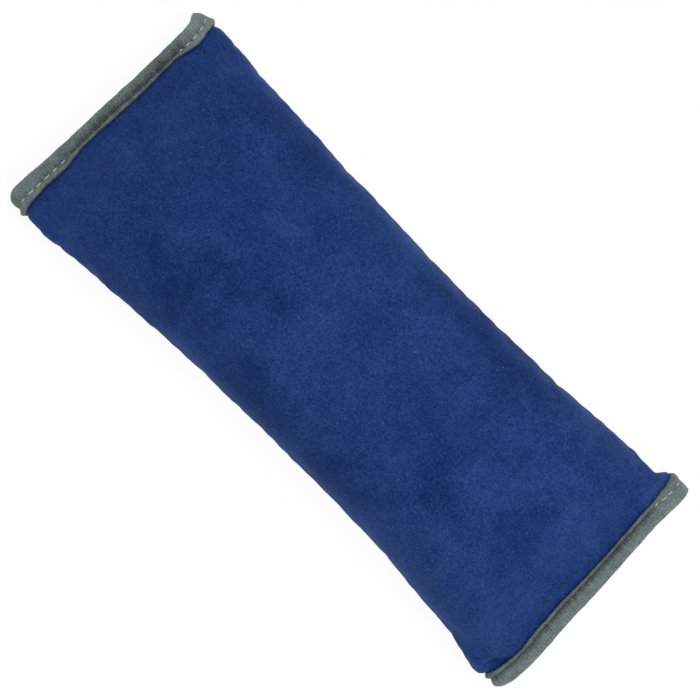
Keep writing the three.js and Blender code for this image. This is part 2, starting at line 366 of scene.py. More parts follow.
def set_points(mesh, points_mm):
    mesh.vertices.foreach_set("co", (points_mm / 1000).ravel())
    mesh.update()


def normals_of(mesh):
    flat = np.empty(len(mesh.vertices) * 3)
    mesh.vertex_normals.foreach_get("vector", flat)
    return flat.reshape(-1, 3)


def paint(mesh, name, values):
    """Stores one value per vertex for the material to read."""
    layer = mesh.attributes.new(name, "FLOAT", "POINT")
    layer.data.foreach_set("value", np.asarray(values, dtype=np.float32))


def wander(points, scale, seed):
    """Smooth noise from -1 to 1 at each point, with features about the scale in millimetres."""
    shift = Vector((seed * 17.3, seed * 5.1, seed * 9.7))
    return np.array([noise.noise(Vector(p) / scale + shift) for p in points.tolist()])


seam_angle = -31.5
face_lines = [(1, 1.0, a) for a in np.linspace(seam_angle, 90, 27)]
face_lines += [(1, f, 90.0) for f in np.linspace(1, 0, 12)[1:]]
face_lines += [(-1, f, a) for _, f, a in face_lines[:-1][::-1]]
place_count = 130

face_rows = []
for side, flat, angle in face_lines:
    ends = [line_y_at_tape(end, side, flat, angle) for end in (-1, 1)]
    along = places_along(*ends, place_count)
    face_rows.append(row_of(along, *skin(along, side, flat, angle)))
seam_places = face_rows[0][:, 0]
far_seam_places = face_rows[-1][:, 0]

skirt_count = 7
skirt_rows = {}
for side, along in ((1, seam_places), (-1, far_seam_places)):
    top = angle_at(along, side, lining_low.z, cloth)
    angles = [mix(seam_angle, top, share) for share in np.linspace(0, 1, skirt_count)]
    skirt_rows[side] = [row_of(along, *skin(along, side, 1.0, angle, cloth)) for angle in angles]
lining_count = 26
lining_sag = 0.5
sag_reach = 140
lining_rows = []
for share in np.linspace(0, 1, lining_count + 2)[1:-1]:
    row = mix(skirt_rows[-1][-1], skirt_rows[1][-1], share)
    sag = lining_sag * math.sin(math.pi * share) * np.cos(row[:, 0] / sag_reach * math.pi / 2)
    row[:, 2] = lining_low.z - sag
    lining_rows.append(row)
rows = np.array(face_rows + skirt_rows[-1] + lining_rows + skirt_rows[1][::-1])
row_count, column_count = rows.shape[:2]
faces = grid_faces(row_count, column_count)
cushion = make_piece("cushion", rows, faces + both_ends(row_count, column_count, len(face_lines)))

# The filling is blown up inside the sewn cover: seams, skirts, lining and bound ends stay put
blow_steps = 20
most_moved = 1.6
seam_holds = 40
held_steps = 3
freed_steps = 9
sewn_shape = points_of(cushion.data)
held = np.ones((row_count, column_count))
for row, (side, flat, angle) in enumerate(face_lines):
    from_seam = ramp((angle - seam_angle) / seam_holds)
    end_steps = np.minimum(np.arange(column_count), np.arange(column_count)[::-1])
    held[row] = 1 - from_seam * ramp((end_steps - held_steps) / freed_steps)
sewn = cushion.vertex_groups.new(name="sewn")
for index, weight in enumerate(held.ravel().tolist()):
    sewn.add([index], weight, "REPLACE")
fill_cloth = cushion.modifiers.new("filling", "CLOTH")
handling = {"quality": 5, "mass": 0.2, "tension_stiffness": 12, "compression_stiffness": 8,
            "shear_stiffness": 4, "bending_stiffness": 0.6, "air_damping": 2,
            "vertex_group_mass": "sewn", "shrink_min": -0.02, "use_pressure": True,
            "uniform_pressure_force": 3.0}
for setting, value in handling.items():
    setattr(fill_cloth.settings, setting, value)
fill_cloth.settings.effector_weights.gravity = 0
for step in range(1, blow_steps + 1):
    scene.frame_set(step)
blown = cushion.evaluated_get(bpy.context.evaluated_depsgraph_get())
moved = points_of(blown.data) - sewn_shape
length = np.linalg.norm(moved, axis=1, keepdims=True)
moved *= most_moved * np.tanh(length / most_moved) / np.maximum(length, 1e-9)
cushion.modifiers.remove(fill_cloth)
scene.frame_set(1)
cushion.vertex_groups.clear()
set_points(cushion.data, sewn_shape + moved)

bpy.context.view_layer.objects.active = cushion
cushion.select_set(True)
bpy.ops.object.modifier_add(type="SUBSURF")
cushion.modifiers[-1].levels = 1
cushion.modifiers[-1].render_levels = 1
bpy.ops.object.modifier_apply(modifier=cushion.modifiers[-1].name)
cushion.select_set(False)


def distance_to(points, path):
    """Distance from each point to the path in x and y, and how far along it, from 0 to 1."""
    best = np.full(len(points), 1e9)
    along = np.zeros(len(points))
    for i in range(len(path) - 1):
        a, b = np.array(path[i]), np.array(path[i + 1])
        t = np.clip(((points[:, :2] - a) @ (b - a)) / ((b - a) @ (b - a)), 0, 1)
        d = np.linalg.norm(points[:, :2] - a - t[:, None] * (b - a), axis=1)
        along = np.where(d < best, (i + t) / (len(path) - 1), along)
        best = np.minimum(best, d)
    return best, along


# Given one by one: the tuck in the lower right corner, gathers along both lips, and slack in the cloth
shape = points_of(cushion.data)
upward = normals_of(cushion.data)
on_face = ramp((upward[:, 2] + 0.1) / 0.4)
on_top = ramp((upward[:, 2] - 0.1) / 0.5)
tuck_path = [(126.0, -53.4), (127.2, -50.8), (128.4, -48.4), (129.6, -46.0), (131.0, -43.8),
             (132.2, -42.2)]
tuck_deepest = 0.42
tuck_reach = 1.3
gather_height = 0.5
slack_height = 0.45
off_tuck, along_tuck = distance_to(shape, tuck_path)
tuck_depth = 0.7 + 2.4 * hill(along_tuck, tuck_deepest, 0.26)
tuck_depth *= ramp((1 - along_tuck) / 0.2) * ramp((along_tuck - 0.02) / 0.18)
toward_corner = (shape[:, 0] - 130) * 0.85 - (shape[:, 1] + 45.5) * 0.52
height = -tuck_depth * hill(off_tuck, 0, tuck_reach)
height += 0.35 * hill(toward_corner, -2.6, 1.8) * hill(off_tuck, 0, 4)
height -= 0.7 * ramp(toward_corner / 1.2) * hill(off_tuck, 0, 5)
height *= on_top
from_left = shape[:, 0] - lip_line[-1](shape[:, 1])
from_right = lip_line[1](shape[:, 1]) - shape[:, 0]
from_lip = np.where(shape[:, 0] < 0, from_left, from_right)
gather = wander(shape * [0.12, 1, 0.2], 4.2, 1) + 0.6 * wander(shape * [0.15, 1, 0.2], 2.1, 2)
height += gather_height * gather * ramp(from_lip / 1.5) * hill(from_lip, 0, 9)
slack = wander(shape, 26, 3) + 0.5 * wander(shape, 11, 4)
height += slack_height * slack * ramp(from_lip / 12)
shape += upward * (height * on_face)[:, None]
for side in (-1, 1):
    above_seam = shape[:, 2] - skin(shape[:, 0], side, 1.0, seam_angle)[1]
    near_seam = hill(above_seam, 0, 4.5) * ((shape[:, 1] - middle_y) * side > 40)
    away_from_tape = ramp((from_lip - 1) / 6)
    stretched = shape * [1, 0.2, 0.2]
    drawn = 0.2 * wander(stretched, 3.4, 7) + 0.14 * wander(stretched, 1.9, 8)
    shape += upward * (drawn * near_seam * away_from_tape)[:, None]
set_points(cushion.data, shape)

# Places where a hand has brushed the nap the dark way: x, y, reach along and across, turn.
# The same values also carry painted shade along both edges, in the tuck's crease and against the lips,
# and a painted highlight beside the upper right lip.
brushed = [(-44.4, -11.0, 17, 8, 20), (-59.6, -32.2, 20, 9, -12), (-16.2, -38.6, 26, 8, 6),
           (34.0, -37.8, 15, 8, 25), (54.8, -11.0, 15, 7, -30), (26.4, 42.2, 22, 6, 0),
           (-72.8, 42.2, 24, 6, 4), (56.8, 42.2, 20, 7, -6), (96.8, -3.4, 11, 14, 15)]
nap_and_painted_light = np.zeros(len(shape))
ragged = wander(shape, 9, 5) + 0.6 * wander(shape, 4, 6)
for x, y, reach_x, reach_y, turn in brushed:
    c, s = math.cos(math.radians(turn)), math.sin(math.radians(turn))
    dx, dy = shape[:, 0] - x, shape[:, 1] - y
    off = np.sqrt(((dx * c + dy * s) / reach_x) ** 2 + ((dy * c - dx * s) / reach_y) ** 2)
    nap_and_painted_light = np.maximum(nap_and_painted_light, ramp(1.5 - off + 0.6 * ragged))
# Painted shade: darker bands along the upper and the lower edge.
nap_and_painted_light += 0.4 * hill(shape[:, 1], 37, 9) * hill(shape[:, 0], -10, 40)
nap_and_painted_light += 0.6 * hill(shape[:, 1], -43, 6) * hill(shape[:, 0], -2, 42)
# Painted shade in the tuck's crease.
nap_and_painted_light += 2.4 * on_top * hill(off_tuck, 0, tuck_reach) * hill(along_tuck, tuck_deepest, 0.3)
# Painted shadow: a dark line on the cushion right against each lip.
nap_and_painted_light += np.where(shape[:, 0] < 0, 2.0, 1.3) * hill(from_lip, 0.1, 0.7)
# Painted highlight: a paler patch beside the upper right lip.
upper_right = ramp((shape[:, 1] - 34) / 10) * (shape[:, 0] > 0)
nap_and_painted_light -= 1.6 * hill(from_lip, 2, 4) * upper_right
paint(cushion.data, "nap_and_painted_light", nap_and_painted_light)


def blend_of(add, join, parts):
    """0.5 plus each source's distance from its middle times its weight."""
    total = None
    for source, centre, weight in parts:
        part = add("Math", operation="MULTIPLY_ADD", input_1=weight, input_2=-centre * weight)
        join(source, part.inputs[0])
        if total is None:
            part.inputs[2].default_value = 0.5 - centre * weight
            total = part.outputs[0]
        else:
            both = add("Math", operation="ADD")
            join(total, both.inputs[0])
            join(part.outputs[0], both.inputs[1])
            total = both.outputs[0]
    return total


def ramp_of(add, join, source, stops):
    """A colour ramp through (place, colour) stops."""
    node = add("ValToRGB")
    elements = node.color_ramp.elements
    elements[0].position, elements[0].color = stops[0][0], (*stops[0][1], 1)
    elements[1].position, elements[1].color = stops[-1][0], (*stops[-1][1], 1)
    for place, colour in stops[1:-1]:
        elements.new(place).color = (*colour, 1)
    join(source, node.inputs["Fac"])
    return node.outputs["Color"]


def noise_of(add, join, where, **settings):
    """Noise that runs through the cloth, with its middle at 0.5."""
    node = add("TexNoise", **settings)
    join(where, node.inputs["Vector"])
    return node.outputs["Fac"]


def cloth_surface(add, join, colour, height, relief, depth, **settings):
    """The last nodes of a finish: its colour, its fine relief and how it takes the light."""
    bump = add("Bump", Strength=relief, Distance=depth)
    join(height, bump.inputs["Height"])
    shader = add("BsdfPrincipled", **settings)
    join(colour, shader.inputs["Base Color"])
    join(bump.outputs["Normal"], shader.inputs["Normal"])
    join(shader.outputs[0], add("OutputMaterial").inputs["Surface"])


def suede_finish(name, nap_and_painted_light_share):
    """Dyed suede cloth: a short nap that lies lighter or darker and a fine pebbled grain, with painted
    shade and highlight read from a mesh attribute and painted light growing towards +x.
    """
    material, add, join = new_finish(name)
    where = add("TexCoord").outputs["Object"]
    patches = noise_of(add, join, where, Scale=42, Detail=3, Roughness=0.5, Distortion=0.5)
    mottle = noise_of(add, join, where, Scale=190, Detail=4, Roughness=0.62, Distortion=0.3)
    grain = noise_of(add, join, where, Scale=900, Detail=3, Roughness=0.7)
    fibres = noise_of(add, join, where, Scale=2300, Detail=2, Roughness=0.7)
    parts = [(patches, 0.5, 0.62), (mottle, 0.5, 0.5), (grain, 0.5, 1.35), (fibres, 0.5, 1.8)]
    # Painted light: the cloth grows lighter towards +x, the side of the lamp.
    painted_side_light = add("SeparateXYZ")
    join(where, painted_side_light.inputs[0])
    parts.append((painted_side_light.outputs["X"], 0.0, 0.08))
    if nap_and_painted_light_share:
        # Brushed nap mixed with painted shade and painted highlight, from the mesh attribute.
        nap_and_painted_light_mark = add("Attribute", attribute_name="nap_and_painted_light")
        parts.append((nap_and_painted_light_mark.outputs["Fac"], 0.3, -nap_and_painted_light_share))
    tone = blend_of(add, join, parts)
    # Suede colours; the tone fed in carries painted shade, painted highlight and painted side light as
    # well as the nap.
    dye = ramp_of(add, join, tone, [(0.0, (0.0016, 0.0122, 0.0700)), (0.28, (0.0042, 0.0212, 0.1100)),
                                    (0.55, (0.0090, 0.0350, 0.1540)), (1.0, (0.0270, 0.0630, 0.2120))])
    lint = noise_of(add, join, where, Scale=640, Detail=1, Roughness=0.5)
    lint_mark = add("MapRange", From_Min=0.735, From_Max=0.79, To_Min=0.0, To_Max=0.45)
    join(lint, lint_mark.inputs["Value"])
    dotted = add("MixRGB", Color2=(0.09, 0.13, 0.27, 1))
    join(lint_mark.outputs[0], dotted.inputs["Fac"])
    join(dye, dotted.inputs["Color1"])
    height = blend_of(add, join, [(mottle, 0.5, 0.5), (grain, 0.5, 1.0), (fibres, 0.5, 0.5)])
    cloth_surface(add, join, dotted.outputs["Color"], height, 0.6, 0.0004, Roughness=0.92,
                  Sheen_Weight=0.2, Sheen_Roughness=0.45, Sheen_Tint=(0.3, 0.5, 1.0, 1),
                  Specular_IOR_Level=0.12)
    return material


def woven_finish(name, colour, pitch, depth, roughness=0.85):
    """Plain woven cloth: crossing threads at the pitch in millimetres, a little uneven."""
    material, add, join = new_finish(name)
    where = add("TexCoord").outputs["Object"]
    threads = []
    for direction in ("X", "Y"):
        wave = add("TexWave", wave_type="BANDS", bands_direction=direction, wave_profile="SIN",
                   Scale=math.pi * 50 / pitch, Distortion=0.6, Detail=1, Detail_Scale=3)
        join(where, wave.inputs["Vector"])
        threads.append(wave.outputs["Fac"])
    weave = add("Math", operation="MULTIPLY")
    join(threads[0], weave.inputs[0])
    join(threads[1], weave.inputs[1])
    uneven = noise_of(add, join, where, Scale=130, Detail=4, Roughness=0.6)
    tone = blend_of(add, join, [(weave.outputs[0], 0.3, 0.5), (uneven, 0.5, 0.9)])
    dark = tuple(0.6 * c for c in colour)
    light = tuple(1.35 * c for c in colour)
    dye = ramp_of(add, join, tone, [(0.1, dark), (0.5, colour), (0.9, light)])
    cloth_surface(add, join, dye, weave.outputs[0], 0.7, depth / 1000, Roughness=roughness,
                  Specular_IOR_Level=0.2, Sheen_Weight=0.1)
    return material


cover_suede = suede_finish("cover_suede", 0.2)
lining_weave = woven_finish("lining_weave", (0.020, 0.035, 0.085), 0.6, 0.12)
cushion.data.materials.append(cover_suede)
cushion.data.materials.append(lining_weave)
on_lining = (upward[:, 2] < -0.5) & (shape[:, 2] < lining_high.z)
for polygon in cushion.data.polygons:
    polygon.material_index = 1 if all(on_lining[v] for v in polygon.vertices) else 0

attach(cushion, "root")
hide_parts("face_cover", "stuffing", "cushion_lining")

# Flaps: two pieces of the same suede cloth, sewn to the side seams with the allowance turned up
# inside the belt tunnel, and hemmed along their free edges. One lies over the other, and the
# fastener strips hold them together round the belt.
flap_overlap = 28
ramp_length = 12
ramp_foot = flap_overlap / 2 + 2 + ramp_length
free_until = 112
flap_places = 230
corner_lines = 22
back_lines = 109
hem_width = 7
hem_step = 0.1
hem_roll = 0.8
strip_half = (hook_high.y - hook_low.y) / 2
sewn_line = strip_half - 1.5
sewn_depth = 0.34
sewn_pitch = 3.5
looseness = 0.5
seam_edge_angle = -32.6
seam_edge_inset = 0.35
allowance_inset = 1.8
allowance_cloth = 0.5
allowance_share = 0.3


def make_flap(name, side, raised):
    """A folded cloth with an outer and an inner face, from its seam to its free edge."""
    seam_y = [line_y_at_tape(end, side, 1.0, seam_edge_angle) for end in (-1, 1)]
    along = places_along(*seam_y, flap_places)
    low = back_height(along)
    free = 1 - ramp((np.abs(along) - free_until) / lift_run)
    flat_start = np.abs(skin(along, side, 1.0, -90.0)[0] - middle_y)
    flat_shares = np.linspace(0, 1, back_lines + 1)[1:]
    left_lip_x, right_lip_x = (lip_line[end](side * corner_reach) for end in (-1, 1))
    from_tape = np.minimum(along - left_lip_x, right_lip_x - along)
    turned = ramp((from_tape - 0.3) / 1.5)
    skirt_top = angle_at(along, side, lining_low.z, cloth)
    turned_top = mix(seam_edge_angle + 0.3, mix(seam_edge_angle, skirt_top, allowance_share), turned)
    turned_out = mix(seam_edge_inset + 0.2, allowance_inset, turned)
    turned_in = mix(cloth - 0.1, allowance_inset + allowance_cloth, turned)
    angles = np.linspace(-34, -90, corner_lines)
    outer_lines = [(turned_top, turned_out), (seam_edge_angle + 0.3, turned_out),
                   (seam_edge_angle, seam_edge_inset)]
    outer_lines += [(angle, 0.0) for angle in angles]
    inner_lines = [(turned_top, turned_in), (seam_edge_angle, turned_in)]
    inner_lines += [(angle, cloth) for angle in angles]
    seam = row_of(along, 7.0 * side, 0.0)
    drawn = 0.2 * wander(seam, 3.4, 9) + 0.14 * wander(seam, 1.9, 10)
    outer, inner = [], []
    for inset, rows_here, lines_here in ((0.0, outer, outer_lines), (cloth, inner, inner_lines)):
        for angle, line_inset in lines_here:
            y, z = skin(along, side, 1.0, angle, line_inset)
            near_seam = hill(angle, -33, 14)
            rows_here.append(row_of(along, y + side * drawn * near_seam * free, z))
        for share in flat_shares:
            distance = mix(flat_start, -flap_overlap / 2, share)
            rise = ramp((ramp_foot - distance) / ramp_length) if raised else np.zeros(len(along))
            hem = hem_step * ramp((hem_width - distance - flap_overlap / 2) / hem_roll)
            stitched = hill(distance, -sewn_line, 0.75) + hill(distance, sewn_line, 0.75)
            z = mix(low, overlap_cloth - cloth / 2, rise) + inset
            y = side * distance + middle_y
            line = row_of(along, y, 3.0 * side)
            loose = free * ramp((distance - strip_half - 1) / 5) * (1 - rise)
            z = z + looseness * loose * (0.5 + 0.5 * wander(line, 14, 11)) + (hem if inset else 0)
            each_stitch = 0.8 + 0.2 * np.cos(2 * np.pi * along / sewn_pitch)
            held_down = sewn_depth * free * stitched * each_stitch
            z = z + (-0.6 * held_down if inset else held_down)
            rows_here.append(row_of(along, y, z))
    edge_row = (outer[-1] + inner[-1]) / 2 - np.array([0, side * 0.4, 0])
    flap_rows = outer + [edge_row] + inner[::-1]
    flap_rows = np.array(flap_rows if side < 0 else flap_rows[::-1])
    flap_count, along_count = flap_rows.shape[:2]
    sides = grid_faces(flap_count, along_count)
    return make_piece(name, flap_rows, sides + both_ends(flap_count, along_count, len(outer)))


loop_flap = make_flap("loop_side_flap", 1, True)
hook_flap = make_flap("hook_side_flap", -1, False)
flap_suede = suede_finish("flap_suede", 0)
for flap, node in ((loop_flap, "loop_flap"), (hook_flap, "hook_flap")):
    flap.data.materials.append(flap_suede)
    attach(flap, "root")
    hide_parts(node)

# Fastener: a strip of small nylon hooks sewn to the lower flap, and a strip of soft loops sewn to
# the underside of the upper flap. Both are woven tapes with plain edges where they are stitched.
selvage = 1.7
hook_pitch = 1.5
hook_rows = 1.25
pile_edge = 0.4


def make_strip(name, node, facing):
    """A woven tape with its hooks or loops on the side that faces the other strip."""
    low, high = box_mm(node)
    half_long, half_wide = (high.x - low.x) / 2, (high.y - low.y) / 2
    thick = high.z - low.z
    corner = 2.0
    across = np.linspace(-half_wide, half_wide, 54)
    past_corner = np.maximum(np.abs(across) - half_wide + corner, 0)
    rounded = corner - np.sqrt(np.maximum(corner ** 2 - past_corner ** 2, 0))
    share = np.linspace(-1, 1, 610)
    strip_rows = []
    for y, cut in zip(across, rounded):
        x = share * (half_long - cut)
        spot = row_of(x, y, 5.0 * facing)
        inside = np.minimum(half_wide - abs(y), half_long - np.abs(x))
        if facing > 0:
            row_shift = hook_pitch / 2 * (round(y / hook_pitch * hook_rows) % 2)
            pile = (0.5 + 0.5 * np.cos(2 * np.pi * (x + row_shift) / hook_pitch)) ** 1.5
            pile = pile * (0.5 + 0.5 * math.cos(2 * math.pi * y * hook_rows / hook_pitch))
        else:
            pile = 0.6 + 0.5 * wander(spot, 1.4, 12) + 0.3 * wander(spot, 0.7, 13)
        past_selvage = ramp((inside - selvage) / pile_edge)
        z = thick * (0.5 + 0.1 * past_selvage + 0.4 * np.clip(pile, 0, 1) * past_selvage)
        strip_rows.append(row_of(x, y, z))
    for y, cut in list(zip(across, rounded))[::-6]:
        strip_rows.append(row_of(share * (half_long - cut), y, 0.0))
    strip_rows = np.array(strip_rows)
    if facing < 0:
        strip_rows[:, :, 2] = thick - strip_rows[:, :, 2]
    else:
        strip_rows = strip_rows[::-1]
    strip_rows += [(low.x + high.x) / 2, (low.y + high.y) / 2, low.z]
    count, along_count = strip_rows.shape[:2]
    half = len(across) if facing < 0 else count - len(across)
    sides = grid_faces(count, along_count)
    return make_piece(name, strip_rows, sides + both_ends(count, along_count, half))


strips = {}
strip_weave = woven_finish("strip_weave", (0.012, 0.018, 0.036), 0.5, 0.15, 0.6)
for node, name, facing in (("hook_strip", "hook_tape", 1), ("loop_strip", "loop_tape", -1)):
    strip = make_strip(name, node, facing)
    strip.data.materials.append(strip_weave)
    strips[node] = strip
    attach(strip, "root")
    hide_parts(node)

# End bindings: grosgrain tape folded over each pinched end, with cross ribs, and sewn through
# everything in one line. The line pulls a groove between the outer roll and the lip.
rib_pitch = 1.1
rib_depth = 0.16
stitch_pitch = 3.6
tape_step = 0.2

outer_profile = [(2.00, 0.95), (2.03, 1.25), (1.98, 1.44), (1.88, 1.58), (1.72, 1.67), (1.52, 1.70),
                 (1.34, 1.64), (1.20, 1.50), (1.10, 1.36), (1.04, 1.28), (1.00, 1.22), (0.96, 1.28),
                 (0.90, 1.46), (0.80, 1.76), (0.68, 2.02), (0.54, 2.16), (0.40, 2.12), (0.28, 1.95),
                 (0.17, 1.64), (0.09, 1.26), (0.03, 0.80), (0.00, 0.30)]
tunnel_profile = [(0.00, 0.10), (0.03, 0.36), (0.09, 0.62), (0.18, 0.84), (0.30, 0.96), (0.50, 1.0),
                  (0.75, 1.0), (0.92, 0.96), (1.00, 0.92), (1.08, 0.96), (1.40, 1.0), (1.80, 1.0),
                  (1.98, 0.97), (2.02, 0.88)]
lining_side = [(1.98, 0.80), (1.50, 0.80), (1.00, 0.80), (0.60, 0.80), (0.38, 0.80), (0.30, 0.95)]
cloth_side = [(0.27, -0.4), (0.30, 0.62), (0.40, 0.84), (0.60, 0.9), (1.00, 0.86), (1.50, 0.9),
              (1.96, 0.9)]

# How far the tape stands out at each corner of the pad, from its fold to its lip
corner_profiles = {
    (-1, 1): [(0, 0.3), (0.15, 1.0), (0.5, 1.3), (1.0, 1.75), (1.5, 2.7), (1.8, 2.5), (2.0, 1.3)],
    (-1, -1): [(0, 0.6), (0.12, 1.6), (0.3, 2.3), (0.6, 2.45), (1.0, 1.9), (1.25, 2.4), (1.6, 3.4),
               (2.0, 1.9)],
    (1, 1): [(0, 0.9), (0.06, 1.8), (0.15, 2.15), (0.6, 2.35), (1.0, 2.2), (1.4, 2.65), (1.8, 2.5),
             (2.0, 1.4)],
    (1, -1): [(0, 0.4), (0.12, 1.5), (0.3, 2.2), (0.6, 2.1), (1.0, 1.2), (1.25, 1.8), (1.6, 2.6),
              (2.0, 1.3)],
}
# How deep the ribs are from the fold to the lip, and how much painted light brightens each corner
rib_profile = np.array([(0, 0.35), (0.2, 0.5), (0.6, 0.8), (0.9, 1.0), (1.1, 0.9), (1.5, 0.6),
                        (2.0, 0.4)])
corner_painted_light = {-1: (0.25, 0.7), 1: (0.15, 0.1)}
# Where the groove starts to open towards the corners, and over what length
left_opens = (31, 20)
left_opening = 12
right_opens = 38
right_opening = 9


def groove_openness(end, y):
    """1 near the corners where the tape lies nearly flat, 0 where the groove hides the thread."""
    if end < 0:
        above, below = y - left_opens[0], -left_opens[1] - y
        return np.maximum(ramp(above / left_opening), ramp(below / left_opening))
    return ramp((y - right_opens) / right_opening)


def tape_path(end):
    """Middle of the cloth round a bound end in y and z, evenly spaced, with its outward side."""
    upper = end_half[end][1] - skin_radius
    lower = end_half[end][-1] - skin_radius
    turn = np.radians(np.linspace(-90, 90, 120))
    under = np.linspace(-flap_overlap / 2, upper, 300)
    rise = mix(lower_cloth, overlap_cloth, ramp((ramp_foot - under) / ramp_length))
    over = np.linspace(upper, -lower, 400)
    back = np.linspace(-lower, flap_overlap / 2, 300)
    y = np.concatenate([under, upper + side_radius * np.cos(turn), over,
                        -lower - side_radius * np.cos(turn[::-1]), back])
    z = np.concatenate([rise, side_height + side_radius * np.sin(turn), np.full(400, upper_cloth),
                        side_height + side_radius * np.sin(turn[::-1]), np.full(300, lower_cloth)])
    travel = np.concatenate([[0], np.cumsum(np.hypot(np.diff(y), np.diff(z)))])
    keep = np.concatenate([[True], np.diff(travel) > 1e-6])
    at = np.arange(0, travel[-1], tape_step)
    y, z = np.interp(at, travel[keep], y[keep]), np.interp(at, travel[keep], z[keep])
    dy, dz = np.gradient(y), np.gradient(z)
    size = np.hypot(dy, dz)
    return at, y + middle_y, z, dz / size, -dy / size


def line_noise(at, scale, seed):
    """Smooth noise from -1 to 1 along the tape."""
    return np.array([noise.noise(Vector((a / scale, seed * 3.7, seed * 1.9))) for a in at.tolist()])


def make_tape(name, end):
    """A folded tape, as rows that run round the bound end from its fold to its lip and back."""
    at, y, z, out_y, out_z = tape_path(end)
    fold, groove, lip = fold_line[end](y), groove_line[end](y), lip_line[end](y)
    seed = 20 + 10 * end
    fold = fold + 0.16 * line_noise(at, 5, seed) + 0.08 * line_noise(at, 1.6, seed + 9)
    groove = groove + 0.12 * line_noise(at, 4, seed + 1)
    lip = lip + 0.16 * line_noise(at, 4.5, seed + 2) + 0.1 * line_noise(at, 1.5, seed + 10)
    on_top = ramp((z - lower_cloth) / side_radius)
    inner = mix(tape_side, upper_cloth - (lining_low.z - ease - tape_wall),
                ramp(((z - lower_cloth) / side_radius - 1.3) / 0.6))
    jitter = 0.3 * line_noise(at, 7, seed + 3) + 0.12 * line_noise(at, 1.7, seed + 4)
    open_groove = groove_openness(end, y)
    strength = np.clip(0.72 + 0.85 * line_noise(at, 4, seed + 5), 0.15, 1.25) * (1 if end < 0 else 0.65)
    strength = strength * (1 - 0.5 * open_groove)
    pucker = line_noise(at, 1.3, seed + 11) + 0.6 * line_noise(at, 2.6, seed + 12)
    sideways = ramp((np.abs(out_y) - 0.35) / 0.5)
    corner = {side: np.array(corner_profiles[end, side]) for side in (-1, 1)}
    stitch_wave = 0.5 + 0.5 * np.cos(2 * np.pi * at / stitch_pitch)
    rows_here, ribs, shares = [], [], []

    def add_row(share, out, rib_share):
        tilt = 0.35 * (share - 1) * line_noise(at, 6, seed + 6)
        wave = 0.5 + 0.5 * np.cos(2 * np.pi * (at + jitter + tilt) / rib_pitch)
        valley = wave ** 2.2 * strength * rib_share
        x = np.where(share <= 1, mix(fold, groove, share), mix(groove, lip, share - 1))
        offset = out - rib_depth * valley
        rows_here.append(row_of(x, y + out_y * offset, z + out_z * offset))
        ribs.append(valley)
        shares.append(share)

    roll_uneven = 0.18 * line_noise(at, 3.4, seed + 7) + 0.1 * line_noise(at, 1.3, seed + 8)
    for share, out in outer_profile:
        rib_share = np.interp(share, *rib_profile.T)
        crest = hill(share, 0.5, 0.35) + 0.7 * hill(share, 1.5, 0.3)
        near_stitch = hill(share, 1.0, 0.25)
        flat_out = min(out, tape_side - 0.02) if share > 0.2 else min(out, tape_side) * 0.95
        filled = mix(out, max(out, 1.78), open_groove) if 0.6 < share < 1.6 else out
        face_out = filled + crest * roll_uneven - near_stitch * 0.16 * (1 - stitch_wave)
        face_out = face_out + 0.18 * pucker * hill(share, 1.0, 0.45)
        side_out = [np.interp(share, *corner[side].T) for side in (-1, 1)]
        corner_out = np.where(y < 0, *side_out) + 0.4 * crest * roll_uneven
        face_out = mix(face_out, corner_out, sideways)
        add_row(share, mix(flat_out, face_out, on_top), rib_share * mix(0.5, 1.0, on_top))
    for share, depth in tunnel_profile:
        add_row(share, -inner * depth, 0.5)
    for share, depth in lining_side:
        add_row(share, -inner + depth, 0.0)
    for share, out in cloth_side:
        add_row(share, np.full(len(at), out), 0.0)
    rows_here = np.array(rows_here)
    if end > 0:
        rows_here = rows_here[:, ::-1]
        ribs = [r[::-1] for r in ribs]
    count, around_count = rows_here.shape[:2]
    sides = grid_faces(count, around_count)
    half = len(outer_profile) + len(tunnel_profile) // 2
    tape = make_piece(name, rows_here, sides + both_ends(count, around_count, half))
    # Painted shade and painted light on the tape, stored per vertex for its finish.
    dark = []
    for share in shares:
        # Painted shade in the stitched groove.
        painted_groove_shade = hill(share, 1.04, 0.24) * (0.9 + 0.3 * np.clip(-pucker, -1, 1))
        painted_groove_shade = painted_groove_shade * (1 - 0.8 * open_groove)
        # Painted shade at the lip's edge.
        lip_edge_shade = 1.2 * hill(share, 2.0, 0.14) * (1 - sideways)
        # Painted shade in the puckers beside the groove.
        pucker_shade = 0.6 * np.clip(-pucker, 0, 1) * hill(share, 0.9, 0.45)
        # On the left roll, painted shadow of the cushion on its groove side and a painted highlight at
        # its fold; on the right roll, painted light on its groove side.
        flank = ramp((share - 0.2) / 0.6) * (share <= 1) * (1 - 0.4 * open_groove)
        if end < 0:
            painted_groove_shade = 0.8 * painted_groove_shade + 0.4 * flank - 0.4 * hill(share, 0, 0.15)
        else:
            painted_groove_shade = painted_groove_shade - 0.25 * flank * ramp((1 - share) / 0.15)
        # Painted light on the flat corners.
        corner_light = ramp((np.abs(y) - 36) / 10) * np.where(y < 0, *corner_painted_light[end])
        dark.append((painted_groove_shade + lip_edge_shade + pucker_shade - corner_light)[::-end])
    paint(tape.data, "dark", np.concatenate(dark))
    paint(tape.data, "rib", np.concatenate(ribs))
    paint(tape.data, "across", np.repeat(shares, len(at)))
    return tape


